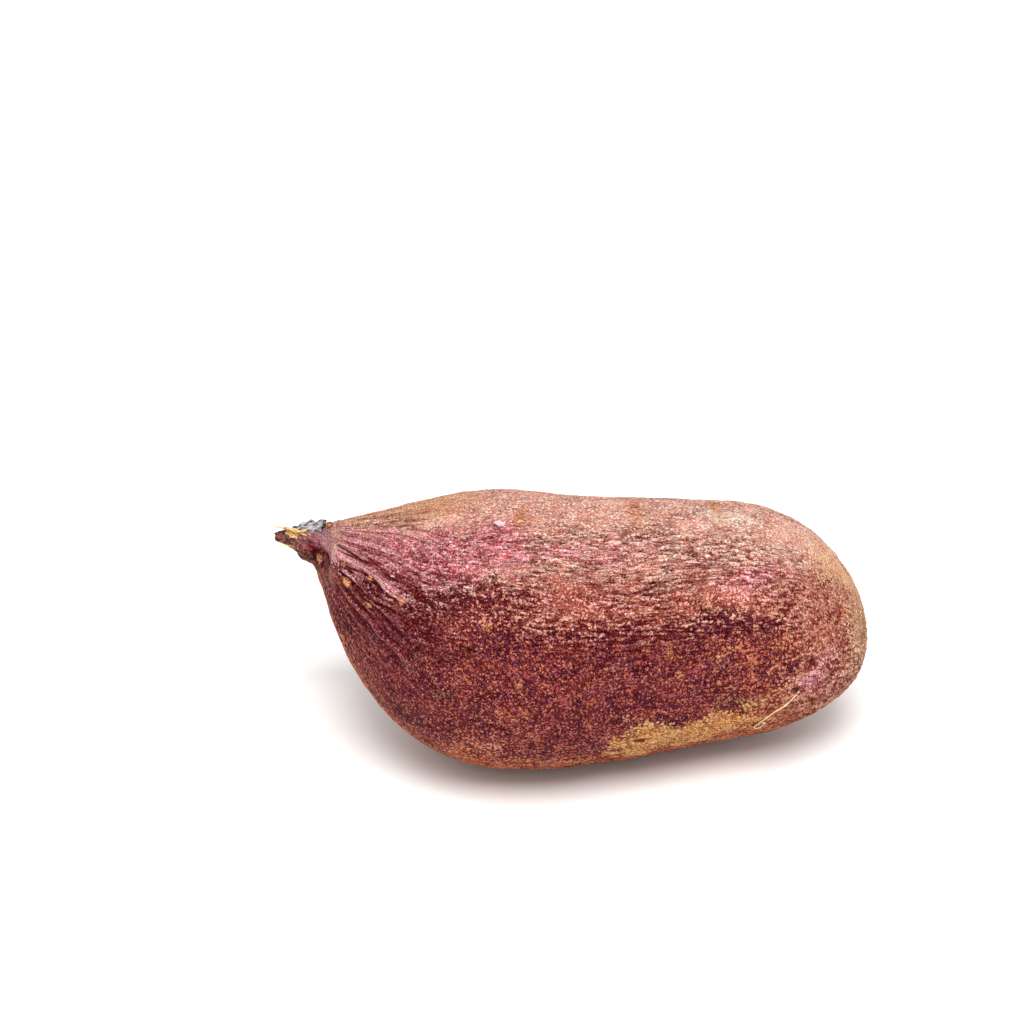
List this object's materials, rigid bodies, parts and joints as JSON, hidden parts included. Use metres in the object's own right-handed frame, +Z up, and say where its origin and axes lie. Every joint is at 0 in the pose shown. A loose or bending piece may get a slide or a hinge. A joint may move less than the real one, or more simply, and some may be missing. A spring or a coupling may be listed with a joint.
{
  "type": "sweet potato",
  "caption": "Whole raw sweet potato with a short broken stem stub at one end, lying on a small flat spot.",
  "frame": {"origin": "on the surface that the root rests on, under the middle of its bounding box", "axes": "+X from the stem stub to the blunt end, +Z up; both ends bend towards +Y"},
  "size_m": [0.1544, 0.0784, 0.0705],
  "materials": {
    "sweet_potato": "matte, dull purple-red skin with tan flecks"
  },
  "bodies": {
    "root": {"sweet_potato": "sweet_potato"}
  },
  "joints": []
}
